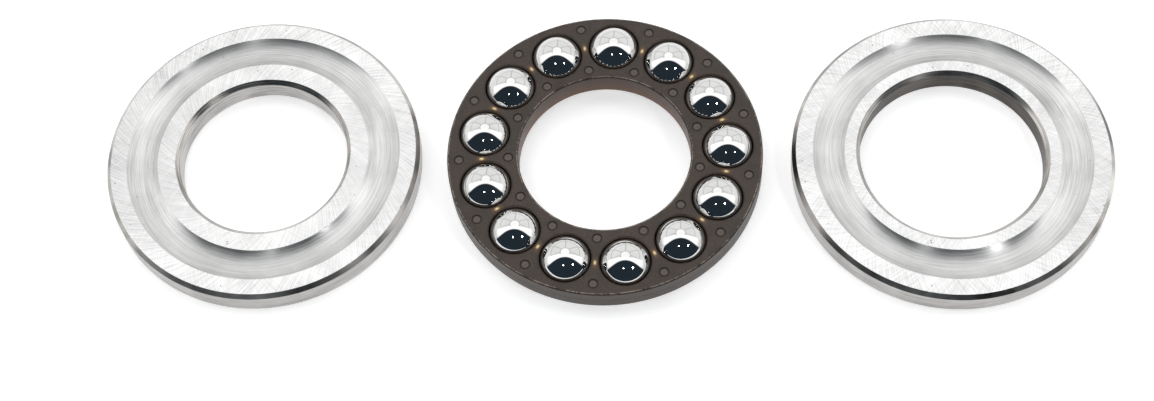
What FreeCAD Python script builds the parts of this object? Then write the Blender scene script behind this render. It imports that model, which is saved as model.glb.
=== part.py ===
import FreeCAD, Part
import math
import os

import Sketcher

# Single-direction thrust ball bearing, taken apart and laid out in a row on a flat surface.
# From -X to +X: the shaft washer, the cage with its balls, the housing washer.
# Millimetres, +Z up. The origin is on the surface, under the middle of the cage.
# Every washer lies on its flat back with the raceway up, and the balls stand on the surface
# and carry the cage. Working order: cage on the housing washer, shaft washer turned over on top.

# Driving sizes: alias, value, what it is.
driving_sizes = [
    ("ball_diameter", 7.938, "ball, the 5/16 inch size"),
    ("ball_count", 13, "balls in the ring"),
    ("ball_gap", 0.7252, "space between neighbouring balls"),
    ("bearing_height", 15, "both washers and the balls, working"),
    ("pitch_to_shaft_bore", 5.6, "radial: ball circle in to the shaft washer bore"),
    ("pitch_to_housing_rim", 5.4, "radial: ball circle out to the housing washer rim"),
    ("housing_bore_clearance", 1, "radial: housing washer bore outside the shaft"),
    ("shaft_rim_clearance", 0.1, "radial: shaft washer rim inside the housing seat"),
    ("cage_bore_clearance", 0.2, "radial: cage bore outside the shaft"),
    ("cage_rim_clearance", 0.3, "radial: cage rim inside the housing seat"),
    ("washer_chamfer", 0.6, "edges of both washers"),
    ("raceway_depth", 0.7, "deepest point of the raceway under the land"),
    ("raceway_conformity", 1.058, "raceway radius over ball radius"),
    ("cage_height", 3.7, "cage along the axis"),
    ("cage_edge", 0.2, "chamfer on the four cage edges"),
    ("pocket_play", 0.1, "radial: cage pocket around its ball"),
    ("mouth_flare", 0.3, "radial: pocket mouth opened out at each face"),
    ("mouth_depth", 0.25, "depth of that opening out"),
    ("mark_diameter", 1.5, "ejector pin mark"),
    ("mark_depth", 0.08, "how far the pin mark is sunk"),
    ("mark_from_rim", 1.75, "radial: cage rim in to the outer row of pin marks"),
    ("mark_from_bore", 1.5, "radial: cage bore out to the inner row of pin marks"),
    ("ring_spacing_gap", 4.3, "space between neighbours in the row"),
    ("washer_setback", 0.5, "how far the washers lie behind the cage in the row"),
    ("first_ball_angle", 86.5, "degrees from +X to the first ball"),
]

# Sizes that follow from the driving ones, as expressions for the document.
pitch_radius = "((Sizes.ball_diameter + Sizes.ball_gap) / sin(180 deg / Sizes.ball_count) / 2)"
ball_radius = "(Sizes.ball_diameter / 2)"
shaft_bore_radius = f"({pitch_radius} - Sizes.pitch_to_shaft_bore)"
housing_rim_radius = f"({pitch_radius} + Sizes.pitch_to_housing_rim)"
housing_bore_radius = f"({shaft_bore_radius} + Sizes.housing_bore_clearance)"
shaft_rim_radius = f"({housing_rim_radius} - Sizes.shaft_rim_clearance)"
cage_bore_radius = f"({shaft_bore_radius} + Sizes.cage_bore_clearance)"
cage_rim_radius = f"({housing_rim_radius} - Sizes.cage_rim_clearance)"
washer_thickness = "((Sizes.bearing_height - Sizes.ball_diameter) / 2 + Sizes.raceway_depth)"
raceway_radius = f"({ball_radius} * Sizes.raceway_conformity)"
raceway_center_height = f"({washer_thickness} - Sizes.raceway_depth + {raceway_radius})"
half_cage = "(Sizes.cage_height / 2)"
pocket_radius = f"({ball_radius} + Sizes.pocket_play)"
mouth_radius = f"(sqrt({pocket_radius} ^ 2 - {half_cage} ^ 2) + Sizes.mouth_flare)"
lip_height = f"({half_cage} - Sizes.mouth_depth)"
outer_mark_radius = f"({cage_rim_radius} - Sizes.mark_from_rim)"
inner_mark_radius = f"({cage_bore_radius} + Sizes.mark_from_bore)"
shaft_washer_x = f"(-({cage_rim_radius} + Sizes.ring_spacing_gap + {shaft_rim_radius}))"
housing_washer_x = f"({cage_rim_radius} + Sizes.ring_spacing_gap + {housing_rim_radius})"
pocket_angle = "(360 deg / Sizes.ball_count)"

origin_point = (-1, 1)
horizontal_axis, vertical_axis = -1, -2
start, end, center = 1, 2, 3


# The sheet that holds the driving sizes.
def make_sheet(doc):
    sheet = doc.addObject("Spreadsheet::Sheet", "Sizes")
    for row, (alias, value, note) in enumerate(driving_sizes, 1):
        sheet.set(f"A{row}", alias)
        sheet.set(f"B{row}", str(value))
        sheet.set(f"C{row}", note)
        sheet.setAlias(f"B{row}", alias)
    doc.recompute()
    return sheet


# The number that an expression over the sheet gives now, in mm, degrees or plain.
def number(sheet, expression):
    value = sheet.evalExpression(expression.replace("Sizes.", ""))
    return float(getattr(value, "Value", value))


# A new sketch on one of the body's own origin planes.
def add_sketch(body, name, plane_role):
    sketch = body.newObject("Sketcher::SketchObject", name)
    plane = next(f for f in body.Origin.OriginFeatures if f.Role == plane_role)
    sketch.AttachmentSupport = [(plane, "")]
    sketch.MapMode = "FlatFace"
    return sketch


# A named dimension in a sketch, bound to an expression over the sheet.
def dimension(sheet, sketch, kind, where, name, expression):
    value = number(sheet, expression)
    if kind == "Angle":
        value = math.radians(value)
    index = sketch.addConstraint(Sketcher.Constraint(kind, *where, value))
    sketch.renameConstraint(index, name)
    sketch.setExpression("Constraints." + name, expression)


# Straight edges through the points in turn, closed, with an arc after the point at arc_index.
# Edge i runs from point i to point i + 1.
def draw_outline(sketch, points, arc_index=None, arc_middle=None):
    corners = [FreeCAD.Vector(x, y, 0) for x, y in points]
    for i, corner in enumerate(corners):
        following = corners[(i + 1) % len(corners)]
        if i == arc_index:
            edge = Part.Arc(corner, FreeCAD.Vector(*arc_middle, 0), following)
        else:
            edge = Part.LineSegment(corner, following)
        sketch.addGeometry(edge, False)


# Joins end to start all round. An arc always runs counter-clockwise, so its ends are told apart
# by where they lie.
def join_outline(sketch, edge_count):
    def nearest_end(index, point):
        starts_there = sketch.getPoint(index, start).distanceToPoint(point) < 1e-6
        return start if starts_there else end

    for i in range(edge_count):
        following = (i + 1) % edge_count
        if isinstance(sketch.Geometry[i], Part.LineSegment):
            shared = sketch.getPoint(i, end)
        else:
            shared = sketch.getPoint(following, start)
        ends = (i, nearest_end(i, shared), following, nearest_end(following, shared))
        sketch.addConstraint(Sketcher.Constraint("Coincident", *ends))


# The run and the rise of every chamfer in a section, each listed from its lower or left end.
def dimension_chamfers(sheet, sketch, chamfers, size):
    for name, (left, right, low, high) in chamfers.items():
        run, rise = (*left, *right), (*low, *high)
        dimension(sheet, sketch, "DistanceX", run, name + "_run", size)
        dimension(sheet, sketch, "DistanceY", rise, name + "_rise", size)


# A full turn of a sketch about the body's Z axis.
def revolve(body, sketch, name):
    revolution = body.newObject("PartDesign::Revolution", name)
    revolution.Profile = sketch
    revolution.ReferenceAxis = (sketch, ["V_Axis"])
    revolution.Angle = 360
    sketch.Visibility = False
    return revolution


# One washer: a flat ring with chamfered edges and a raceway turned into its upper face.
def make_washer(doc, sheet, label, bore_radius, rim_radius, center_x):
    body = doc.addObject("PartDesign::Body", label)
    body.Label = label
    sketch = add_sketch(body, label + "_section", "XZ_Plane")

    bore, rim = number(sheet, bore_radius), number(sheet, rim_radius)
    top, edge = number(sheet, washer_thickness), number(sheet, "Sizes.washer_chamfer")
    pitch, depth = number(sheet, pitch_radius), number(sheet, "Sizes.raceway_depth")
    radius = number(sheet, raceway_radius)
    half_width = math.sqrt(radius ** 2 - (radius - depth) ** 2)
    points = [
        (bore + edge, 0), (rim - edge, 0), (rim, edge), (rim, top - edge), (rim - edge, top),
        (pitch + half_width, top), (pitch - half_width, top),
        (bore + edge, top), (bore, top - edge), (bore, edge),
    ]
    raceway = 5
    draw_outline(sketch, points, raceway, (pitch, top - depth))
    join_outline(sketch, len(points))
    back, rim_wall, outer_land, inner_land, bore_wall = 0, 2, 4, 6, 8
    for level in (back, outer_land, inner_land):
        sketch.addConstraint(Sketcher.Constraint("Horizontal", level))
    for upright in (rim_wall, bore_wall):
        sketch.addConstraint(Sketcher.Constraint("Vertical", upright))
    sketch.addConstraint(Sketcher.Constraint("PointOnObject", back, start, horizontal_axis))

    chamfers = {
        "rim_low": ((1, start), (1, end), (1, start), (1, end)),
        "rim_high": ((3, end), (3, start), (3, start), (3, end)),
        "bore_high": ((7, end), (7, start), (7, end), (7, start)),
        "bore_low": ((9, start), (9, end), (9, end), (9, start)),
    }
    dimension_chamfers(sheet, sketch, chamfers, "Sizes.washer_chamfer")
    from_axis = [
        ("rim_radius", (rim_wall, start), rim_radius),
        ("bore_radius", (bore_wall, start), bore_radius),
        ("pitch_radius", (raceway, center), pitch_radius),
    ]
    for name, point, expression in from_axis:
        dimension(sheet, sketch, "DistanceX", (*origin_point, *point), name, expression)
    from_back = [
        ("outer_land_height", (outer_land, start), washer_thickness),
        ("inner_land_height", (inner_land, end), washer_thickness),
        ("raceway_center_height", (raceway, center), raceway_center_height),
    ]
    for name, point, expression in from_back:
        dimension(sheet, sketch, "DistanceY", (*origin_point, *point), name, expression)
    dimension(sheet, sketch, "Radius", (raceway,), "raceway_radius", raceway_radius)

    revolve(body, sketch, label + "_turned")
    body.setExpression("Placement.Base.x", center_x)
    body.setExpression("Placement.Base.y", "Sizes.washer_setback")
    return body


# The cage blank: a flat ring about the height of its own middle, with small edge chamfers.
def make_cage_blank(sheet, body):
    sketch = add_sketch(body, "cage_section", "XZ_Plane")
    bore, rim = number(sheet, cage_bore_radius), number(sheet, cage_rim_radius)
    top, edge = number(sheet, half_cage), number(sheet, "Sizes.cage_edge")
    points = [
        (bore + edge, -top), (rim - edge, -top), (rim, edge - top), (rim, top - edge),
        (rim - edge, top), (bore + edge, top), (bore, top - edge), (bore, edge - top),
    ]
    draw_outline(sketch, points)
    join_outline(sketch, len(points))
    lower, rim_wall, upper, bore_wall = 0, 2, 4, 6
    for level in (lower, upper):
        sketch.addConstraint(Sketcher.Constraint("Horizontal", level))
    for upright in (rim_wall, bore_wall):
        sketch.addConstraint(Sketcher.Constraint("Vertical", upright))
    chamfers = {
        "rim_low": ((1, start), (1, end), (1, start), (1, end)),
        "rim_high": ((3, end), (3, start), (3, start), (3, end)),
        "bore_high": ((5, end), (5, start), (5, end), (5, start)),
        "bore_low": ((7, start), (7, end), (7, end), (7, start)),
    }
    dimension_chamfers(sheet, sketch, chamfers, "Sizes.cage_edge")
    rim_point, bore_point = (*origin_point, rim_wall, start), (*origin_point, bore_wall, start)
    dimension(sheet, sketch, "DistanceX", rim_point, "rim_radius", cage_rim_radius)
    dimension(sheet, sketch, "DistanceX", bore_point, "bore_radius", cage_bore_radius)
    upper_point, lower_point = (*origin_point, upper, start), (lower, start, *origin_point)
    dimension(sheet, sketch, "DistanceY", upper_point, "upper_height", half_cage)
    dimension(sheet, sketch, "DistanceY", lower_point, "lower_height", half_cage)
    return revolve(body, sketch, "cage_ring")


# One ball pocket: a sphere a little larger than the ball, opened out at both faces.
# Both mouths stay narrower than the ball, so the balls are held in.
def cut_pocket(sheet, body):
    sketch = add_sketch(body, "pocket_section", "XZ_Plane")
    sketch.setExpression("AttachmentOffset.Base.x", pitch_radius)
    top, lip = number(sheet, half_cage), number(sheet, lip_height)
    mouth, radius = number(sheet, mouth_radius), number(sheet, pocket_radius)
    lip_radius = math.sqrt(radius ** 2 - lip ** 2)
    points = [
        (0, -top), (mouth, -top), (lip_radius, -lip), (lip_radius, lip), (mouth, top), (0, top),
    ]
    lower_face, lower_flare, wall, upper_flare, upper_face, pocket_axis = range(6)
    draw_outline(sketch, points, wall, (radius, 0))
    join_outline(sketch, len(points))
    for level in (lower_face, upper_face):
        sketch.addConstraint(Sketcher.Constraint("Horizontal", level))
    for corner in (start, end):
        sketch.addConstraint(Sketcher.Constraint("PointOnObject", pocket_axis, corner, vertical_axis))
    sketch.addConstraint(Sketcher.Constraint("Coincident", wall, center, *origin_point))
    dimension(sheet, sketch, "Radius", (wall,), "pocket_radius", pocket_radius)
    heights = [
        ("upper_height", (*origin_point, upper_face, start), half_cage),
        ("lower_height", (lower_face, start, *origin_point), half_cage),
        ("upper_lip_height", (*origin_point, upper_flare, start), lip_height),
        ("lower_lip_height", (lower_flare, end, *origin_point), lip_height),
    ]
    for name, where, expression in heights:
        dimension(sheet, sketch, "DistanceY", where, name, expression)
    mouths = [("upper_mouth", (upper_face, start)), ("lower_mouth", (lower_face, end))]
    for name, point in mouths:
        dimension(sheet, sketch, "DistanceX", (*origin_point, *point), name, mouth_radius)

    pocket = body.newObject("PartDesign::Groove", "pocket")
    pocket.Profile = sketch
    pocket.ReferenceAxis = (sketch, ["V_Axis"])
    pocket.Angle = 360
    sketch.Visibility = False
    return pocket


# A pair of round ejector pin marks, sunk in the upper face midway between two pockets.
def cut_pin_marks(sheet, body):
    sketch = add_sketch(body, "pin_mark_circles", "XY_Plane")
    sketch.setExpression("AttachmentOffset.Base.z", half_cage)
    turn = math.radians(number(sheet, pocket_angle) / 2)
    direction = FreeCAD.Vector(math.cos(turn), math.sin(turn), 0)
    outer_center = direction * number(sheet, outer_mark_radius)
    inner_center = direction * number(sheet, inner_mark_radius)
    radius = number(sheet, "Sizes.mark_diameter") / 2
    up = FreeCAD.Vector(0, 0, 1)
    spoke = sketch.addGeometry(Part.LineSegment(FreeCAD.Vector(), outer_center), True)
    sketch.addConstraint(Sketcher.Constraint("Coincident", spoke, start, *origin_point))
    outer = sketch.addGeometry(Part.Circle(outer_center, up, radius), False)
    inner = sketch.addGeometry(Part.Circle(inner_center, up, radius), False)
    sketch.addConstraint(Sketcher.Constraint("Coincident", outer, center, spoke, end))
    sketch.addConstraint(Sketcher.Constraint("PointOnObject", inner, center, spoke))
    sketch.addConstraint(Sketcher.Constraint("Equal", outer, inner))
    dimension(sheet, sketch, "Angle", (spoke,), "half_step", pocket_angle + " / 2")
    dimension(sheet, sketch, "Distance", (spoke,), "outer_row", outer_mark_radius)
    inner_ends = (*origin_point, inner, center)
    dimension(sheet, sketch, "Distance", inner_ends, "inner_row", inner_mark_radius)
    dimension(sheet, sketch, "Radius", (outer,), "mark_radius", "Sizes.mark_diameter / 2")

    marks = body.newObject("PartDesign::Pocket", "pin_marks")
    marks.Profile = sketch
    marks.setExpression("Length", "Sizes.mark_depth")
    sketch.Visibility = False
    return marks


# The cage: one moulded ring with a pocket for each ball.
def make_cage(doc, sheet):
    body = doc.addObject("PartDesign::Body", "cage")
    body.Label = "cage"
    blank = make_cage_blank(sheet, body)
    doc.recompute()
    blank_volume = blank.Shape.Volume
    pocket = cut_pocket(sheet, body)
    doc.recompute()
    pocket_cut = blank_volume - pocket.Shape.Volume
    marks = cut_pin_marks(sheet, body)
    doc.recompute()
    marks_cut = pocket.Shape.Volume - marks.Shape.Volume
    if min(pocket_cut, marks_cut) <= 0:
        raise RuntimeError("a pocket or a pin mark cut nothing from the cage")

    pattern = body.newObject("PartDesign::PolarPattern", "all_pockets")
    pattern.Originals = [pocket, marks]
    axis = next(f for f in body.Origin.OriginFeatures if f.Role == "Z_Axis")
    pattern.Axis = (axis, [""])
    pattern.Angle = 360
    pattern.setExpression("Occurrences", "Sizes.ball_count")
    body.Tip = pattern
    doc.recompute()
    expected = blank_volume - number(sheet, "Sizes.ball_count") * (pocket_cut + marks_cut)
    if abs(pattern.Shape.Volume - expected) > 1e-3 * blank_volume:
        raise RuntimeError("the pockets of the cage run into each other")

    # The ring lies level with the middles of the balls, its first pocket over the first ball.
    body.setExpression("Placement.Base.z", ball_radius)
    body.Placement.Rotation = FreeCAD.Rotation(
        FreeCAD.Vector(0, 0, 1), number(sheet, "Sizes.first_ball_angle")
    )
    return body


# The balls, numbered clockwise from above, each standing on the surface in its pocket.
def make_balls(doc, sheet):
    balls = []
    for index in range(int(number(sheet, "Sizes.ball_count"))):
        ball = doc.addObject("Part::Sphere", f"ball_{index + 1:02d}")
        ball.Label = f"ball_{index + 1:02d}"
        ball.setExpression("Radius", ball_radius)
        angle = f"(Sizes.first_ball_angle * 1 deg - {index} * {pocket_angle})"
        ball.setExpression("Placement.Base.x", f"{pitch_radius} * cos{angle}")
        ball.setExpression("Placement.Base.y", f"{pitch_radius} * sin{angle}")
        ball.setExpression("Placement.Base.z", ball_radius)
        balls.append(ball)
    return balls


# Nothing is written unless every object computed and every piece is one valid solid.
def check(doc, pieces):
    for item in doc.Objects:
        if "Invalid" in item.State or "Error" in item.State:
            raise RuntimeError(f"{item.Label} did not compute: {item.State}")
    for piece in pieces:
        shape = piece.Shape
        if shape.isNull() or not shape.isValid() or len(shape.Solids) != 1:
            raise RuntimeError(f"{piece.Label} is not one valid solid")


# One STEP file for each piece, named after its label.
def write_parts(pieces):
    os.makedirs("parts", exist_ok=True)
    for piece in pieces:
        piece.Shape.exportStep(f"parts/{piece.Label}.step")


doc = FreeCAD.newDocument("thrust_ball_bearing")
sheet = make_sheet(doc)
housing_washer = make_washer(
    doc, sheet, "housing_washer", housing_bore_radius, housing_rim_radius, housing_washer_x
)
shaft_washer = make_washer(
    doc, sheet, "shaft_washer", shaft_bore_radius, shaft_rim_radius, shaft_washer_x
)
cage = make_cage(doc, sheet)
balls = make_balls(doc, sheet)
doc.recompute()

pieces = [housing_washer, shaft_washer, cage, *balls]
check(doc, pieces)
write_parts(pieces)
reported = {
    "ball circle radius": pitch_radius,
    "shaft washer bore radius": shaft_bore_radius,
    "shaft washer rim radius": shaft_rim_radius,
    "housing washer bore radius": housing_bore_radius,
    "housing washer rim radius": housing_rim_radius,
    "washer thickness": washer_thickness,
    "raceway radius": raceway_radius,
    "cage bore radius": cage_bore_radius,
    "cage rim radius": cage_rim_radius,
    "pocket mouth radius": mouth_radius,
    "shaft washer X": shaft_washer_x,
    "housing washer X": housing_washer_x,
}
for name, expression in reported.items():
    print(f"{name}: {number(sheet, expression):.4f}")
print(f"{len(pieces)} pieces written")
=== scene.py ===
from functools import partial
from math import pi, radians, tan

import bmesh
import bpy
import numpy as np
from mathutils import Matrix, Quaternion, Vector
from mathutils.geometry import delaunay_2d_cdt


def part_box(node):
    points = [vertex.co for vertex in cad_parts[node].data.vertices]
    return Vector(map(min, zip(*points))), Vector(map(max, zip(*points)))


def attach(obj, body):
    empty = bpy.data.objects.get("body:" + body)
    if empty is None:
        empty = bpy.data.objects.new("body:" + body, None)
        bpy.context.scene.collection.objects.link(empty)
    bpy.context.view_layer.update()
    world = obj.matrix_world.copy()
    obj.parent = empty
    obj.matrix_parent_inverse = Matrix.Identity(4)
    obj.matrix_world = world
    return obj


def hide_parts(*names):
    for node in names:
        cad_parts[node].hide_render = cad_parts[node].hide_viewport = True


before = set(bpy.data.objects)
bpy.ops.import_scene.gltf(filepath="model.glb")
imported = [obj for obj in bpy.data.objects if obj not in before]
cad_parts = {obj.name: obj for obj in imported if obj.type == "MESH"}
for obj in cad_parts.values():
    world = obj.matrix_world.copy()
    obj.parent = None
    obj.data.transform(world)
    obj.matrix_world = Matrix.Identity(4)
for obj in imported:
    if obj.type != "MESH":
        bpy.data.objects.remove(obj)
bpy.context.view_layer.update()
scene = bpy.context.scene
mm = 0.001


def linear(hexColour):
    # sRGB to linear: value / 12.92 near black, else ((value + 0.055) / 1.055) to the power 2.4
    value = np.array([int(hexColour[i:i + 2], 16) for i in (1, 3, 5)]) / 255
    return (*np.where(value <= 0.04045, value / 12.92, ((value + 0.055) / 1.055) ** 2.4), 1.0)


def connect(tree, node, inputs):
    # inputs are a dictionary by name, or a list in the order of the node's live inputs; each one is a
    # plain value, or the socket or node that feeds it, a node by its first live output
    if isinstance(inputs, dict):
        pairs = [(node.inputs[name], value) for name, value in inputs.items()]
    else:
        pairs = zip([socket for socket in node.inputs if socket.enabled], inputs)
    for socket, value in pairs:
        if isinstance(value, bpy.types.Node):
            value = next(output for output in value.outputs if output.enabled)
        if isinstance(value, bpy.types.NodeSocket):
            tree.links.new(value, socket)
        else:
            socket.default_value = value


def addNode(tree, kind, inputs=(), **settings):
    # a node of any kind; the settings come first, because they decide which inputs are live
    node = tree.nodes.new("ShaderNode" + kind)
    for key, value in settings.items():
        setattr(node, key, value)
    connect(tree, node, inputs)
    return node


view = {
    "standing": (11.557, -152.036, 280.967),  # mm
    "aim": (-4.202, -4.987, 0.0),  # mm, the spot on the floor in the middle of the frame
    "roll": -5.556,  # degrees
    "lens": 66.81,  # mm, on a 36 mm wide sensor
}


def placeCamera():
    # looks from one point at another, then turns by the roll about its own line of sight
    standing, aim = Vector(view["standing"]) * mm, Vector(view["aim"]) * mm
    camera = bpy.data.objects.new("camera", bpy.data.cameras.new("camera"))
    scene.collection.objects.link(camera)
    camera.data.lens = view["lens"]
    camera.data.sensor_width = 36
    camera.data.clip_start = 0.01
    camera.location = standing
    camera.rotation_mode = "QUATERNION"
    look = (aim - standing).to_track_quat("-Z", "Y")
    camera.rotation_quaternion = look @ Quaternion((0, 0, 1), radians(view["roll"]))
    scene.camera = camera


# directions are unit vectors: +Y points to the rear of the room, away from the camera, and +Z up;
# angles are in degrees
studio = {
    "wall": "#ffffff",  # everything behind the bearing
    "wallStrength": 1.0,  # near the floor
    "band": 1.8,  # strength of the bare white band across the top of the room
    "bandRise": (0.05, 0.4),  # it grows from the wall's strength to its own between these heights
    "softbox": 1.22,  # strength of the eight sided soft box behind that band
    "softboxAim": (0.0, 0.40, 0.92),
    "softboxStart": 0.24,  # how far to the rear it meets the band
    "softboxBlur": 0.03,  # half width of that edge
    "heart": 1.6,  # strength of the bright patch in its middle
    "heartRadius": (15, 18),  # bright up to the first angle, gone from the second
    "seams": 0.68,  # how bright its seams are, as a share of its cloth
    "seamWidth": (0.8, 2.6),  # dark up to the first angle from their middle line, gone from the second
    "rings": (19, 56),  # the seams that run round
    "front": "#2b363f",  # the unlit room in front of the bearing
    "frontEdge": -0.18,  # how far to the rear it ends at the horizon
    "frontLean": 0.20,  # how much further to the rear it ends straight overhead
    "frontDip": 0.11,  # how much nearer it ends half way up
    "frontBlur": 0.05,  # half width of its edge
    # direction, watts, size in metres, seen in gloss: two small bright lamps and a wide one that only fills
    "lamps": (((-0.12, -0.56, 0.82), 0.10, 0.04, True),
              ((0.52, -0.46, 0.72), 0.35, 0.045, True),
              ((-0.25, -0.60, 0.76), 0.95, 0.45, False)),
    "lampDistance": 0.6,
    "floor": "#e8e8e8",
    "floorGlow": 0.46,
    "floorRadius": 3.0,
}


def buildWorld():
    # white at the rear and nearly black in front; the step between them is where
    # rearward = edge + lean * up - 4 * dip * up * (1 - up). Anything seen straight past the floor is white
    world = bpy.data.worlds.new("studio")
    scene.world = world
    world.use_nodes = True
    tree = world.node_tree
    tree.nodes.clear()
    add = partial(addNode, tree)
    direction = add("TexCoord").outputs["Generated"]
    axes = add("SeparateXYZ", [direction]).outputs
    rearward, up = axes["Y"], axes["Z"]
    remaining = add("Math", [1.0, up], operation="SUBTRACT")
    bow = add("Math", [up, remaining], operation="MULTIPLY")
    straightEdge = add("Math", [up, studio["frontLean"], studio["frontEdge"]], operation="MULTIPLY_ADD")
    edge = add("Math", [bow, -4 * studio["frontDip"], straightEdge], operation="MULTIPLY_ADD")
    beyond = add("Math", [rearward, edge], operation="SUBTRACT")
    rear = add("MapRange", [beyond, -studio["frontBlur"], studio["frontBlur"]],
               interpolation_type="SMOOTHSTEP")
    colour = add("Mix", [rear, linear(studio["front"]), linear(studio["wall"])], data_type="RGBA")

    # overhead: the bare band, then the soft box's cloth with its bright heart
    start, blur = studio["softboxStart"], studio["softboxBlur"]
    band = add("MapRange", [up, *studio["bandRise"], studio["wallStrength"], studio["band"]],
               interpolation_type="SMOOTHSTEP")
    inBox = add("MapRange", [rearward, start - blur, start + blur], interpolation_type="SMOOTHSTEP")
    box = add("Mix", [inBox, band, studio["softbox"]], data_type="FLOAT")
    aim = Vector(studio["softboxAim"]).normalized()
    towards = add("VectorMath", [direction, aim], operation="DOT_PRODUCT")
    offAxis = add("Math", [towards], operation="ARCCOSINE")
    heartFrom, heartTo = (radians(angle) for angle in studio["heartRadius"])
    heart = add("MapRange", [offAxis, heartFrom, heartTo, studio["heart"] / studio["softbox"], 1.0],
                interpolation_type="SMOOTHSTEP")

    # the cloth is sewn along eight ribs, where abs(sin(4 * way round)) * angle off the axis / 4 is small,
    # and along the rings; the ribs end at the first ring
    side = Vector((1, 0, 0))
    sideways = add("VectorMath", [direction, side], operation="DOT_PRODUCT")
    lengthways = add("VectorMath", [direction, aim.cross(side)], operation="DOT_PRODUCT")
    wayRound = add("Math", [lengthways, sideways], operation="ARCTAN2")
    wedge = add("Math", [wayRound, 4.0], operation="MULTIPLY")
    wave = add("Math", [wedge], operation="SINE")
    size = add("Math", [wave], operation="ABSOLUTE")
    quarter = add("Math", [offAxis, 4.0], operation="DIVIDE")
    ribs = add("Math", [size, quarter], operation="MULTIPLY")
    inFirstRing = add("Math", [offAxis, radians(studio["rings"][0])], operation="LESS_THAN")
    nearest = add("Math", [ribs, inFirstRing], operation="ADD")
    for ring in studio["rings"]:
        aside = add("Math", [offAxis, radians(ring)], operation="SUBTRACT")
        away = add("Math", [aside], operation="ABSOLUTE")
        nearest = add("Math", [nearest, away], operation="MINIMUM")
    seamFrom, seamTo = (radians(angle) for angle in studio["seamWidth"])
    seam = add("MapRange", [nearest, seamFrom, seamTo, studio["seams"], 1.0],
               interpolation_type="SMOOTHSTEP")
    seam = add("Mix", [inBox, 1.0, seam], data_type="FLOAT")
    cloth = add("Math", [box, seam], operation="MULTIPLY")
    lit = add("Math", [cloth, heart], operation="MULTIPLY")
    strength = add("Mix", [rear, 1.0, lit], data_type="FLOAT")
    room = add("Background", [colour, strength])
    white = add("Background", [(1, 1, 1, 1), 1.0])
    straight = add("LightPath").outputs["Is Camera Ray"]
    add("OutputWorld", [add("MixShader", [straight, room, white])])


def buildLamps():
    # each lamp hangs at the same distance in its own direction and faces the middle of the row
    for number, (direction, power, size, inGloss) in enumerate(studio["lamps"], 1):
        name = f"frontLamp{number}"
        lamp = bpy.data.objects.new(name, bpy.data.lights.new(name, "AREA"))
        scene.collection.objects.link(lamp)
        lamp.data.shape = "DISK"
        lamp.data.size = size
        lamp.data.energy = power
        lamp.visible_glossy = inGloss
        lamp.location = Vector(direction).normalized() * studio["lampDistance"]
        lamp.rotation_mode = "QUATERNION"
        lamp.rotation_quaternion = (-lamp.location).to_track_quat("-Z", "Y")


def buildFloor():
    # matt card: it takes the shadows, and a little glow of its own keeps the rest of it white to the
    # camera, in metal and through glass
    material = bpy.data.materials.new("matt white card")
    material.use_nodes = True
    tree = material.node_tree
    add = partial(addNode, tree)
    path = add("LightPath").outputs
    seen = add("Math", [path["Is Glossy Ray"], path["Is Transmission Ray"]], operation="MAXIMUM")
    seen = add("Math", [path["Is Camera Ray"], seen], operation="MAXIMUM")
    glow = add("Math", [seen, studio["floorGlow"]], operation="MULTIPLY")
    connect(tree, tree.nodes["Principled BSDF"],
            {"Base Color": linear(studio["floor"]), "Roughness": 1.0, "Specular IOR Level": 0.0,
             "Emission Color": (1, 1, 1, 1), "Emission Strength": glow})
    sides = 96
    angle = np.arange(sides) * 2 * pi / sides
    ring = np.stack([np.cos(angle), np.sin(angle), 0 * angle], -1) * studio["floorRadius"]
    ring[:, 2] = -0.02 * mm
    mesh = bpy.data.meshes.new("floor")
    mesh.from_pydata(ring.tolist(), [], [list(range(sides))])
    mesh.materials.append(material)
    floor = bpy.data.objects.new("floor", mesh)
    scene.collection.objects.link(floor)


def roundedPath(corners, radii, regions, support=0.03, steps=5, closed=True):
    # each corner with a radius becomes an arc that touches both of its sides: a weighted quadratic
    # curve from side to side whose middle weight is the sine of half the corner's inner angle, with
    # a short flat run before and after it. A corner of radius 0 stays one point. Sizes in mm.
    corners, radii = np.asarray(corners, float), np.asarray(radii, float)
    before = np.roll(corners, 1, 0) - corners
    after = np.roll(corners, -1, 0) - corners
    before /= np.linalg.norm(before, axis=1, keepdims=True)
    after /= np.linalg.norm(after, axis=1, keepdims=True)
    half = np.arccos(np.clip((before * after).sum(1), -1, 1)) / 2
    reach = (radii / np.tan(half))[:, None]
    share = np.linspace(0, 1, steps + 1)[None, :, None]
    rest = 1 - share
    start, end = (corners + before * reach)[:, None], (corners + after * reach)[:, None]
    pull = 2 * share * rest * np.sin(half)[:, None, None]
    arc = (rest ** 2 * start + pull * corners[:, None] + share ** 2 * end) / (rest ** 2 + pull + share ** 2)
    runIn, runOut = (before * support)[:, None], (after * support)[:, None]
    run = np.concatenate([start + runIn, arc, end + runOut], 1)
    labels = np.repeat(np.asarray(regions)[:, None], steps + 3, 1)
    labels[:, 0] = np.roll(regions, 1)
    keep = np.repeat((radii > 0)[:, None], steps + 3, 1)
    keep[:, 1] = True
    if not closed:
        keep[[0, -1]] = False
        keep[[0, -1], 1] = True
        run[[0, -1], 1] = corners[[0, -1]]
    return run[keep] * mm, labels[keep]


def openWall(corners, radii, support, steps):
    # the path of a wall whose ends stay open, all of one finish
    return roundedPath(corners, radii, np.zeros(len(corners), int), support, steps, closed=False)[0]


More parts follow.
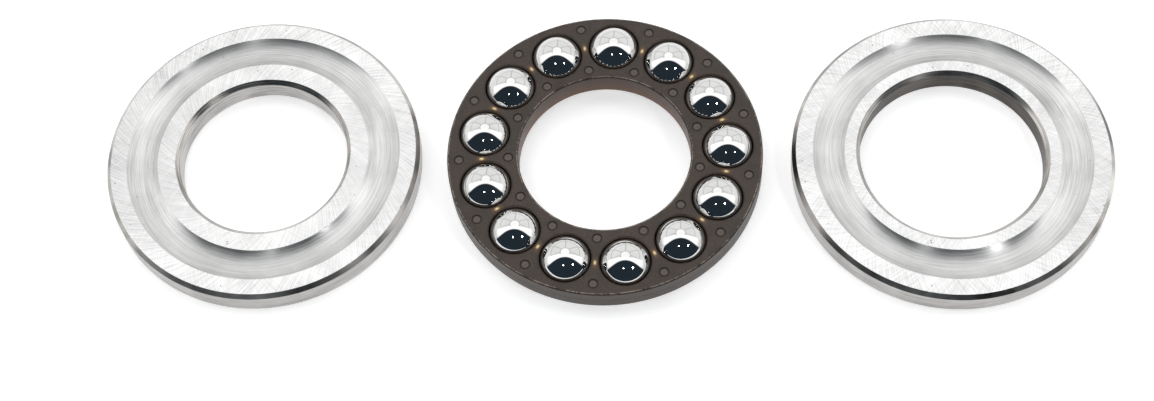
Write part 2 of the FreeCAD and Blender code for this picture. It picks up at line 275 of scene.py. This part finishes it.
def lathe(path, centre, segments, closed=True):
    # point = centre + radius * (cos angle, sin angle), at the path's height; a path that runs against
    # the clock, with radius to the right and height upwards, gives faces that point out of it
    angle = np.arange(segments) * 2 * pi / segments
    radius, height = path[:, 0, None], path[:, 1, None]
    points = np.stack([centre[0] + radius * np.cos(angle), centre[1] + radius * np.sin(angle),
                       height + 0 * angle], -1).reshape(-1, 3)
    row, column = np.meshgrid(np.arange(len(path) - (not closed)), np.arange(segments), indexing="ij")
    nextRow, nextColumn = (row + 1) % len(path), (column + 1) % segments
    quads = np.stack([row * segments + column, row * segments + nextColumn,
                      nextRow * segments + nextColumn, nextRow * segments + column], -1)
    return points, quads.reshape(-1, 4)


def makePiece(name, parts, materials):
    # joins grids of points and faces, each with its material numbers, and merges the points they share
    points, faces, labels, count = [], [], [], 0
    for partPoints, partFaces, partLabels in parts:
        points.append(partPoints)
        faces += (partFaces + count).tolist()
        labels.append(partLabels)
        count += len(partPoints)
    mesh = bpy.data.meshes.new(name)
    mesh.from_pydata(np.concatenate(points).tolist(), [], faces)
    mesh.polygons.foreach_set("material_index", np.concatenate(labels).astype(np.int32))
    mesh.polygons.foreach_set("use_smooth", np.ones(len(faces), bool))
    for material in materials:
        mesh.materials.append(material)
    weldDistance = 0.0002 * mm
    work = bmesh.new()
    work.from_mesh(mesh)
    bmesh.ops.remove_doubles(work, verts=work.verts, dist=weldDistance)
    work.to_mesh(mesh)
    work.free()
    piece = bpy.data.objects.new(name, mesh)
    scene.collection.objects.link(piece)
    return piece


steel = {
    # hardened bearing steel, face ground: pale, with short crossing lines either side of the radius
    "land": {"light": "#f0f0ef", "dark": "#bcbcbc", "roughness": 0.33, "change": 0.12, "anisotropy": 0.85,
             "width": 0.16, "length": 3.2, "along": "outward", "bump": 0.0050, "specks": 0.9,
             "scratches": 0.9},
    # plunge ground and honed raceway: lines that follow the groove spread its gloss up and down its sides
    "raceway": {"light": "#dadad9", "dark": "#acacab", "roughness": 0.34, "change": 0.10, "anisotropy": 0.9,
                "width": 0.13, "length": 7.0, "along": "around", "bump": 0.0020, "specks": 0.5,
                "scratches": 0.35},
    # turned chamfers: darker from the hardening, with the turning tool's lines
    "chamfer": {"light": "#dad7d3", "dark": "#5c5855", "roughness": 0.30, "change": 0.14, "anisotropy": 0.5,
                "width": 0.14, "length": 9.0, "along": "around", "bump": 0.0030, "specks": 0.3,
                "scratches": 0.0},
    # ground rim and bore walls
    "wall": {"light": "#cdcbc9", "dark": "#8b8886", "roughness": 0.34, "change": 0.14, "anisotropy": 0.0,
             "width": 0.14, "length": 6.0, "along": "around", "bump": 0.0026, "specks": 0.4,
             "scratches": 0.0},
    # bore left as it was turned before hardening: brown grey scale with plain tool lines
    "turnedBore": {"light": "#6d6863", "dark": "#2b2826", "roughness": 0.42, "change": 0.14, "anisotropy": 0.0,
                   "width": 0.22, "length": 18.0, "along": "around", "bump": 0.0100, "specks": 0.5,
                   "scratches": 0.0},
}


def steelMaterial(name, centre, look, lean, crossing):
    # Lines are noise stretched along the tool's path: it takes the direction outward, turned by
    # ln(radius) * tan(lean), which keeps every line at one slant to the radius, and the distance along it.
    # Colour goes from dark to light with tone = 3/4 lines + 1/4 patches. Sizes in mm.
    meanRadius, patchSize, pitCell = 19, 5, 1.8
    scratchWidth, scratchLength = 0.1, 11
    material = bpy.data.materials.new(name)
    material.use_nodes = True
    tree = material.node_tree
    add = partial(addNode, tree)
    place = add("TexCoord").outputs["Object"]
    local = add("Mapping", [place, (-centre[0], -centre[1], 0)])
    flat = add("VectorMath", [local, (1, 1, 0)], operation="MULTIPLY")
    radius = add("VectorMath", [flat], operation="LENGTH")
    outward = add("VectorMath", [flat], operation="NORMALIZE")
    height = add("SeparateXYZ", [local]).outputs["Z"]

    radial = look["along"] == "outward"
    aroundSize, depthSize = (look[key] for key in (("width", "length") if radial else ("length", "width")))
    spiral = add("Math", [radius, 2.71828], operation="LOGARITHM")
    depth = add("Math", [radius, height], operation="ADD")
    depth = add("Math", [depth, 1 / (depthSize * mm)], operation="MULTIPLY")
    lift = add("CombineXYZ", {"Z": depth})
    lines = 0.0
    for way, share in ((lean, 1 - crossing), (-lean, crossing)):
        angle = add("Math", [spiral, tan(radians(way))], operation="MULTIPLY")
        turned = add("VectorRotate", {"Vector": outward, "Angle": angle}, rotation_type="Z_AXIS")
        around = add("VectorMath", [turned, meanRadius / aroundSize], operation="SCALE")
        where = add("VectorMath", [around, lift], operation="ADD")
        family = add("TexNoise", {"Vector": where, "Scale": 1.0, "Detail": 3.0, "Roughness": 0.6})
        lines = add("Math", [family, share, lines], operation="MULTIPLY_ADD")
    # cloudy patches, where the wheel cut finer or coarser
    patches = add("TexNoise", {"Vector": local, "Scale": 1 / (patchSize * mm), "Detail": 2.0})
    # stray handling scratches, three ways
    scratch = 0.0
    for turn in (25, 71, 118):
        size = (scratchWidth * mm, scratchLength * mm, 1)
        stretched = add("Mapping", [local, (0, 0, 0), (0, 0, radians(turn)), size], vector_type="TEXTURE")
        streak = add("TexNoise", {"Vector": stretched, "Scale": 1.0, "Detail": 1.0})
        mark = add("MapRange", [streak, 0.71, 0.77, 0.0, look["scratches"]])
        scratch = add("Math", [scratch, mark], operation="MAXIMUM")
    # pits: one small dark speck in four of ten cells
    cells = add("TexVoronoi", {"Vector": local, "Scale": 1 / (pitCell * mm)}).outputs
    chance = add("SeparateXYZ", [cells["Color"]]).outputs["X"]
    chosen = add("Math", [chance, 0.6], operation="GREATER_THAN")
    speck = add("MapRange", [cells["Distance"], 0.04, 0.07, look["specks"], 0.0])
    pit = add("Math", [chosen, speck], operation="MULTIPLY")

    tone = add("Mix", [0.25, lines, patches], data_type="FLOAT")
    reach = 0.17 * ((1 - crossing) ** 2 + crossing ** 2) ** 0.5  # two families even each other out
    tone = add("MapRange", [tone, 0.5 - reach, 0.5 + reach])
    colour = add("Mix", [tone, linear(look["dark"]), linear(look["light"])], data_type="RGBA")
    colour = add("Mix", [scratch, colour, linear("#eeecea")], data_type="RGBA")
    colour = add("Mix", [pit, colour, linear("#3a3734")], data_type="RGBA")
    mixed = add("Mix", [0.5, lines, patches], data_type="FLOAT")
    smooth, rough = look["roughness"] - look["change"] / 2, look["roughness"] + look["change"] / 2
    roughness = add("MapRange", [mixed, 0.3, 0.7, smooth, rough])
    damage = add("Math", [scratch, pit], operation="MAXIMUM")
    relief = add("Math", [damage, -0.8, lines], operation="MULTIPLY_ADD")
    bump = add("Bump", {"Strength": 1.0, "Distance": look["bump"] * mm, "Height": relief})
    shader = tree.nodes["Principled BSDF"]
    connect(tree, shader, {"Base Color": colour, "Roughness": roughness, "Normal": bump, "Metallic": 1.0})
    if look["anisotropy"]:
        # the gloss spreads across the lines: sideways from radial ones, outwards from round ones
        spread = radians(94 if radial else 0)
        across = add("VectorRotate", {"Vector": outward, "Angle": spread}, rotation_type="Z_AXIS")
        across = add("VectorTransform", [across], vector_type="VECTOR", convert_from="OBJECT",
                     convert_to="WORLD")
        connect(tree, shader, {"Tangent": across, "Anisotropic": look["anisotropy"]})
    return material


washers = {
    "shaft_washer": {"piece": "shaftWasher", "slot": "shaft_washer_steel", "bore": 12.5, "lean": 36,
                     "crossing": 0.3, "boreWall": "wall"},
    "housing_washer": {"piece": "housingWasher", "slot": "housing_washer_steel", "bore": 13.5, "lean": -32,
                       "crossing": 0.5, "boreWall": "turnedBore"},
}
washerShape = {
    "chamfer": 0.6,  # mm, like all below
    "edge": 0.05,  # radius of the broken edges
    "pitch": 18.1,  # middle of the raceway
    "racewayRadius": 4.199,
    "racewayDepth": 0.7,
    "racewaySteps": 40,
    "segments": 480,
}


def buildWasher(node):
    # a turned ring: straight faces and chamfers, and a raceway where
    # height = top - depth + raceway radius - sqrt(raceway radius squared - distance from the pitch squared)
    values, shape = washers[node], washerShape
    low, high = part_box(node)
    centre = (low + high) / 2
    rim, top, bore = (high.x - low.x) / 2 / mm, high.z / mm, values["bore"]
    cut, edge, pitch, arc = shape["chamfer"], shape["edge"], shape["pitch"], shape["racewayRadius"]
    middle = top - shape["racewayDepth"] + arc
    reach = np.sqrt(arc ** 2 - (middle - top) ** 2)
    steps = shape["racewaySteps"]
    across = np.linspace(reach, -reach, steps + 1)
    groove = np.stack([pitch + across, middle - np.sqrt(arc ** 2 - across ** 2)], -1)
    groove[[0, -1], 1] = top
    corners = np.concatenate([
        [(bore + cut, 0), (rim - cut, 0), (rim, cut), (rim, top - cut), (rim - cut, top)],
        groove, [(bore + cut, top), (bore, top - cut), (bore, cut)]])
    radii = np.full(len(corners), edge)
    radii[6:-4] = 0
    # the finish of the side that follows each corner, by its place in the list of finishes
    regions = np.array([0, 2, 3, 2, 0] + [1] * steps + [0, 2, 4, 2])
    path, labels = roundedPath(corners, radii, regions)
    points, quads = lathe(path, centre, shape["segments"])
    finishes = (("ground bearing steel", "land"), ("honed raceway steel", "raceway"),
                ("turned chamfer steel", "chamfer"), ("ground rim steel", "wall"),
                ("bore wall steel", values["boreWall"]))
    owner = f" of the {node.replace('_', ' ')}"
    materials = [steelMaterial(name + owner, centre, steel[key], values["lean"], values["crossing"])
                 for name, key in finishes]
    piece = makePiece(values["piece"], [(points, quads, np.repeat(labels, shape["segments"]))], materials)
    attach(piece, node)
    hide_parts(node)
    print("washer:", node, len(quads), "faces")


balls = {
    "count": 13,
    "colour": "#d6d6d5",
    "dull": "#c2c2c1",
    "roughness": 0.04,
    "smear": 2.5,  # mm, size of the faint smears of oil
    "hair": (0.05, 4.0),  # mm, width and length of the hair lines
    "rings": 64,
    "segments": 112,
}


def ballMaterial():
    # lapped chrome steel: a mirror, where smears change colour and roughness a little and hair lines,
    # which are noise stretched three ways, are sunk into it
    material = bpy.data.materials.new("lapped chrome steel")
    material.use_nodes = True
    tree = material.node_tree
    add = partial(addNode, tree)
    place = add("TexCoord").outputs["Object"]
    smear = add("TexNoise", {"Vector": place, "Scale": 1 / (balls["smear"] * mm), "Detail": 3.0})
    colour = add("Mix", [smear, linear(balls["dull"]), linear(balls["colour"])], data_type="RGBA")
    roughness = add("MapRange", [smear, 0.35, 0.75, balls["roughness"] * 0.6, balls["roughness"] * 1.7])
    width, length = (size * mm for size in balls["hair"])
    hair = 0.0
    for turn, slope in ((20, 40), (95, -35), (150, 15)):
        angles = (radians(slope), 0, radians(turn))
        stretched = add("Mapping", [place, (0, 0, 0), angles, (width, length, length)], vector_type="TEXTURE")
        streak = add("TexNoise", {"Vector": stretched, "Scale": 1.0})
        line = add("MapRange", [streak, 0.70, 0.78])
        hair = add("Math", [hair, line], operation="MAXIMUM")
    relief = add("Math", [1.0, hair], operation="SUBTRACT")
    bump = add("Bump", {"Strength": 0.5, "Distance": 0.0004 * mm, "Height": relief})
    connect(tree, tree.nodes["Principled BSDF"],
            {"Base Color": colour, "Roughness": roughness, "Normal": bump, "Metallic": 1.0})
    return material


def buildBalls():
    # half a circle turned about the ball's upright axis, from its lowest point to its highest:
    # distance out = radius * cos(turn), height = centre + radius * sin(turn)
    material = ballMaterial()
    turn = np.linspace(-pi / 2, pi / 2, balls["rings"] + 1)
    for number in range(1, balls["count"] + 1):
        node = f"ball_{number:02d}"
        low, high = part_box(node)
        centre, radius = (low + high) / 2, (high.z - low.z) / 2
        path = np.stack([radius * np.cos(turn), centre.z + radius * np.sin(turn)], -1)
        path[[0, -1], 0] = 0
        points, quads = lathe(path, centre, balls["segments"], closed=False)
        piece = makePiece(f"steelBall{number:02d}", [(points, quads, np.zeros(len(quads)))], [material])
        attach(piece, node)
        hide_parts(node)
    print("balls:", balls["count"])


cage = {
    "pockets": 13,
    "firstAngle": 86.5,  # degrees
    "pitch": 18.1,  # mm, like all below
    "rim": 23.2,
    "bore": 12.7,
    "pocket": 4.069,  # radius of the pocket's round inside
    "mouth": 3.924,  # radius of the pocket's mouth at the face
    "flareDepth": 0.25,
    "edge": 0.2,  # chamfers of the rim and bore
    "crisp": 0.05,  # radius of their corners
    "soft": 0.36,  # radius that rounds a pocket's mouth
    "part": 0.03,  # depth of the mould's parting line
    "rimBand": 0.4,  # width of face that is turned with the rim and bore
    "markRadius": 0.75,
    "markBand": 0.12,  # width of face that is turned with a pin mark
    "markDepth": 0.08,
    "markCircles": (21.45, 14.2),
    "nylon": "#261d17",
    "nylonLight": "#42362d",
    # half height and half width in mm, share and colour of the painted light on the thin webs: an amber glow
    # and a pale gold glint, most in its middle
    "paintedWebLight": ((1.2, 0.6, 0.6, "#80592a"), (0.5, 0.3, 0.95, "#f2dba6")),
    "paintedEdgeGlint": "#8d837a",  # a painted highlight along the chamfers' edges
    "boreWall": "#74503a",
    "moatShadeAndPoint": "#0c0a09",  # painted shade in the moat round a pin mark, and the dark point in its middle
    "disc": "#756a62",  # the pin mark itself
    "segments": (468, 312, 96, 28),  # round the rim, the bore, a pocket and a pin mark
    "pocketSteps": 16,
    "roughness": 0.40,
    "grain": 0.28,
    "flow": 3.0,  # size of the cloudy flow marks
}


def nylonMaterial(centre):
    # injection moulded nylon: dark, matt and a little waxy; tone = 0.6 fine grain + 0.4 flow marks, and the
    # same painted web light and pin marks in every sector, from the radius and the way along it from a web's
    # middle:
    # along = (fraction of (angle - first angle) / step - 1/2) * step * radius
    material = bpy.data.materials.new("moulded nylon")
    material.use_nodes = True
    tree = material.node_tree
    add = partial(addNode, tree)
    place = add("TexCoord").outputs["Object"]
    local = add("Mapping", [place, (-centre[0], -centre[1], 0)])
    axes = add("SeparateXYZ", [local]).outputs
    flat = add("VectorMath", [local, (1, 1, 0)], operation="MULTIPLY")
    radius = add("VectorMath", [flat], operation="LENGTH")
    step = 2 * pi / cage["pockets"]
    angle = add("Math", [axes["Y"], axes["X"]], operation="ARCTAN2")
    onward = add("Math", [angle, radians(cage["firstAngle"]) - 2 * pi], operation="SUBTRACT")
    sectors = add("Math", [onward, step], operation="DIVIDE")
    share = add("Math", [sectors], operation="FRACT")
    share = add("Math", [share, 0.5], operation="SUBTRACT")
    turn = add("Math", [share, step], operation="MULTIPLY")
    along = add("Math", [turn, radius], operation="MULTIPLY")
    alongSize = add("Math", [along], operation="ABSOLUTE")

    grain = add("TexNoise", {"Vector": local, "Scale": 1 / (cage["grain"] * mm), "Detail": 4.0,
                             "Roughness": 0.7})
    flow = add("TexNoise", {"Vector": local, "Scale": 1 / (cage["flow"] * mm), "Detail": 2.0,
                            "Distortion": 0.8})
    tone = add("Mix", [0.4, grain, flow], data_type="FLOAT")
    tone = add("MapRange", [tone, 0.32, 0.68])
    colour = add("Mix", [tone, linear(cage["nylon"]), linear(cage["nylonLight"])], data_type="RGBA")

    # painted light in the thin webs, an amber glow and a pale gold glint: strongest at the pitch circle and in
    # the web's middle
    offPitch = add("Math", [radius, cage["pitch"] * mm], operation="SUBTRACT")
    offPitch = add("Math", [offPitch], operation="ABSOLUTE")
    for halfHeight, halfWidth, most, webLightColour in cage["paintedWebLight"]:
        inHeight = add("MapRange", [offPitch, 0.0, halfHeight * mm, 1.0, 0.0],
                       interpolation_type="SMOOTHSTEP")
        inWidth = add("MapRange", [alongSize, 0.0, halfWidth * mm, most, 0.0],
                      interpolation_type="SMOOTHSTEP")
        webLight = add("Math", [inHeight, inWidth], operation="MULTIPLY")
        # painted light: the web's glow and glint mixed into the nylon's colour
        colour = add("Mix", [webLight, colour, linear(webLightColour)], data_type="RGBA")

    # a thin broken painted highlight along the edges of the rim's and the bore's chamfer
    fromEdge = []
    for edgeRadius in (cage["rim"] - cage["edge"], cage["bore"] + cage["edge"]):
        aside = add("Math", [radius, edgeRadius * mm], operation="SUBTRACT")
        fromEdge.append(add("Math", [aside], operation="ABSOLUTE"))
    nearest = add("Math", fromEdge, operation="MINIMUM")
    thin = add("MapRange", [nearest, 0.03 * mm, 0.09 * mm, 1.0, 0.0])
    broken = add("MapRange", [tone, 0.4, 0.65])
    edgeGlint = add("Math", [thin, broken], operation="MULTIPLY")
    # painted highlight: pale colour mixed in along the chamfer edges
    colour = add("Mix", [edgeGlint, colour, linear(cage["paintedEdgeGlint"])], data_type="RGBA")

    # the bore wall warms to a red brown towards its lower edge
    inBore = add("Math", [radius, (cage["bore"] + 0.04) * mm], operation="LESS_THAN")
    low = add("MapRange", [axes["Z"], 2.2 * mm, 5.2 * mm, 0.9, 0.15])
    warm = add("Math", [inBore, low], operation="MULTIPLY")
    colour = add("Mix", [warm, colour, linear(cage["boreWall"])], data_type="RGBA")

    # pin marks, by distance = sqrt(off the circle squared + along squared): a ring of painted shade in the
    # moat, a paler disc inside it and a dark point in its middle
    dark, pale = 0.0, 0.0
    alongSquared = add("Math", [along, along], operation="MULTIPLY")
    for circle in cage["markCircles"]:
        aside = add("Math", [radius, circle * mm], operation="SUBTRACT")
        squared = add("Math", [aside, aside, alongSquared], operation="MULTIPLY_ADD")
        away = add("Math", [squared], operation="SQRT")
        offMoat = add("Math", [away, (cage["markRadius"] - 0.06) * mm], operation="SUBTRACT")
        offMoat = add("Math", [offMoat], operation="ABSOLUTE")
        ring = add("MapRange", [offMoat, 0.05 * mm, 0.12 * mm, 1.0, 0.0], interpolation_type="SMOOTHSTEP")
        disc = add("MapRange", [away, 0.42 * mm, 0.56 * mm, 0.35, 0.0], interpolation_type="SMOOTHSTEP")
        point = add("MapRange", [away, 0.1 * mm, 0.22 * mm, 0.5, 0.0], interpolation_type="SMOOTHSTEP")
        dark = add("Math", [dark, ring], operation="MAXIMUM")
        dark = add("Math", [dark, point], operation="MAXIMUM")
        pale = add("Math", [pale, disc], operation="MAXIMUM")
    # painted shade: the dark ring in each pin mark's moat, and the dark middle point
    colour = add("Mix", [dark, colour, linear(cage["moatShadeAndPoint"])], data_type="RGBA")
    colour = add("Mix", [pale, colour, linear(cage["disc"])], data_type="RGBA")
    roughness = add("MapRange", [tone, 0.0, 1.0, cage["roughness"] - 0.07, cage["roughness"] + 0.09])
    bump = add("Bump", {"Strength": 1.0, "Distance": 0.05 * mm, "Height": grain})
    connect(tree, tree.nodes["Principled BSDF"],
            {"Base Color": colour, "Roughness": roughness, "Normal": bump, "IOR": 1.53,
             "Specular IOR Level": 0.36})
    return material


def facePatch(loops, centres, radii, rim, bore, height, upward):
    # triangles between the closed loops, leaving out what lies inside a hole or outside the ring
    points = np.concatenate(loops)
    start = np.cumsum([0] + [len(loop) for loop in loops])
    numbers = [np.arange(len(loop)) + first for loop, first in zip(loops, start)]
    edges = np.concatenate([np.stack([number, np.roll(number, -1)], -1) for number in numbers])
    found = delaunay_2d_cdt([Vector(point) for point in (points / mm).tolist()], edges.tolist(), [], 0, 1e-6)
    flat = np.array([tuple(point) for point in found[0]]) * mm
    triangles = np.array(found[2])
    middle = flat[triangles].mean(1)
    out = np.hypot(*(middle - centres[-1]).T)
    apart = np.linalg.norm(middle[:, None] - centres[None, :-1], axis=2)
    keep = (out < rim) & (out > bore) & (apart > radii[None]).all(1)
    triangles = triangles[keep] if upward else triangles[keep][:, ::-1]
    return np.column_stack([flat, np.full(len(flat), height)]), triangles


def buildCage():
    # two flat faces joined by turned walls: the rim, the bore, the pockets with a rounded mouth at each
    # face, where radius = sqrt(pocket radius squared - height from the middle squared), and the pin marks
    low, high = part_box("cage")
    centre = (low + high) / 2
    hub = np.array(centre.xy)
    bottom, top, middle = low.z / mm, high.z / mm, centre.z / mm
    edge, crisp, soft, part = cage["edge"], cage["crisp"], cage["soft"], cage["part"]
    pockets = cage["pockets"]
    angles = radians(cage["firstAngle"]) - np.arange(pockets) * 2 * pi / pockets
    ring = np.stack([np.cos(angles), np.sin(angles)], -1)
    webAngles = angles - pi / pockets
    between = np.stack([np.cos(webAngles), np.sin(webAngles)], -1)
    pocketCentres = hub + ring * cage["pitch"] * mm
    markCentres = np.concatenate([hub + between * circle * mm for circle in cage["markCircles"]])

    # pocket: face, mouth, flare, round inside, and the same below
    mouth, pocket = cage["mouth"], cage["pocket"]
    lipHeight = (top - middle) - cage["flareDepth"]
    rise = np.linspace(lipHeight, -lipHeight, cage["pocketSteps"] + 1)
    inside = np.stack([np.sqrt(pocket ** 2 - rise ** 2), middle + rise], -1)
    outer = mouth + soft + 0.01
    corners = np.concatenate([[(outer, top), (mouth, top)], inside, [(mouth, bottom), (outer, bottom)]])
    radii = np.zeros(len(corners))
    radii[[1, -2]] = soft
    pocketWall = openWall(corners, radii, 0.004, 6)
    # mark: face, narrow moat, a disc almost level with the face, and the small point in its middle
    mark, depth, band = cage["markRadius"], cage["markDepth"], cage["markBand"]
    corners = [(mark + band, top), (mark, top), (mark - 0.05, top - depth), (mark - 0.12, top - depth),
               (mark - 0.20, top - depth * 0.3), (0.14, top - depth * 0.5), (0.08, top - depth * 0.1),
               (0, top - depth * 0.1)]
    markWall = openWall(corners, [0] + [0.015] * 6 + [0], 0.005, 2)
    # rim and bore: chamfered, and the rim has the mould's parting line at half height
    rim, bore, wide = cage["rim"], cage["bore"], cage["rimBand"]
    corners = [(rim - wide, bottom), (rim - edge, bottom), (rim, bottom + edge), (rim, middle - part),
               (rim - part, middle), (rim, middle + part), (rim, top - edge), (rim - edge, top),
               (rim - wide, top)]
    rimWall = openWall(corners, [0, crisp, crisp, 0.01, 0.01, 0.01, crisp, crisp, 0], 0.015, 2)
    corners = [(bore + wide, top), (bore + edge, top), (bore, top - edge), (bore, bottom + edge),
               (bore + edge, bottom), (bore + wide, bottom)]
    boreWall = openWall(corners, [0, crisp, crisp, crisp, crisp, 0], 0.015, 2)

    parts, topLoops, bottomLoops = [], [], []
    walls = ((rimWall, [hub]), (boreWall, [hub]), (pocketWall, pocketCentres), (markWall, markCentres))
    for (path, places), segments in zip(walls, cage["segments"]):
        for place in places:
            points, quads = lathe(path, place, segments, closed=False)
            parts.append((points, quads, np.zeros(len(quads))))
            first, last = points[:segments, :2], points[-segments:, :2]
            topLoops.append(last if path is rimWall else first)
            if path is not markWall:
                bottomLoops.append(first if path is rimWall else last)
    # the faces between them; holes are taken a little smaller than the walls' loops
    holes = np.concatenate([pocketCentres, markCentres, [hub]])
    marks = len(markCentres)
    holeRadii = np.array([outer * 0.999] * pockets + [(mark + band) * 0.998] * marks) * mm
    ringRim, ringBore = (rim - wide) * mm, (bore + wide) * mm
    for loops, count, height, upward in ((topLoops, pockets + marks, top, True),
                                         (bottomLoops, pockets, bottom, False)):
        chosen = np.concatenate([holes[:count], holes[-1:]])
        points, triangles = facePatch(loops, chosen, holeRadii[:count], ringRim, ringBore, height * mm, upward)
        parts.append((points, triangles, np.zeros(len(triangles))))
    piece = makePiece("nylonCage", parts, [nylonMaterial(centre)])
    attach(piece, "cage")
    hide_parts("cage")
    print("cage:", len(piece.data.polygons), "faces")


placeCamera()
buildWorld()
buildLamps()
buildFloor()
print("camera, light and floor")
buildWasher("shaft_washer")
buildWasher("housing_washer")
buildBalls()
buildCage()

scene.view_settings.view_transform = "Standard"
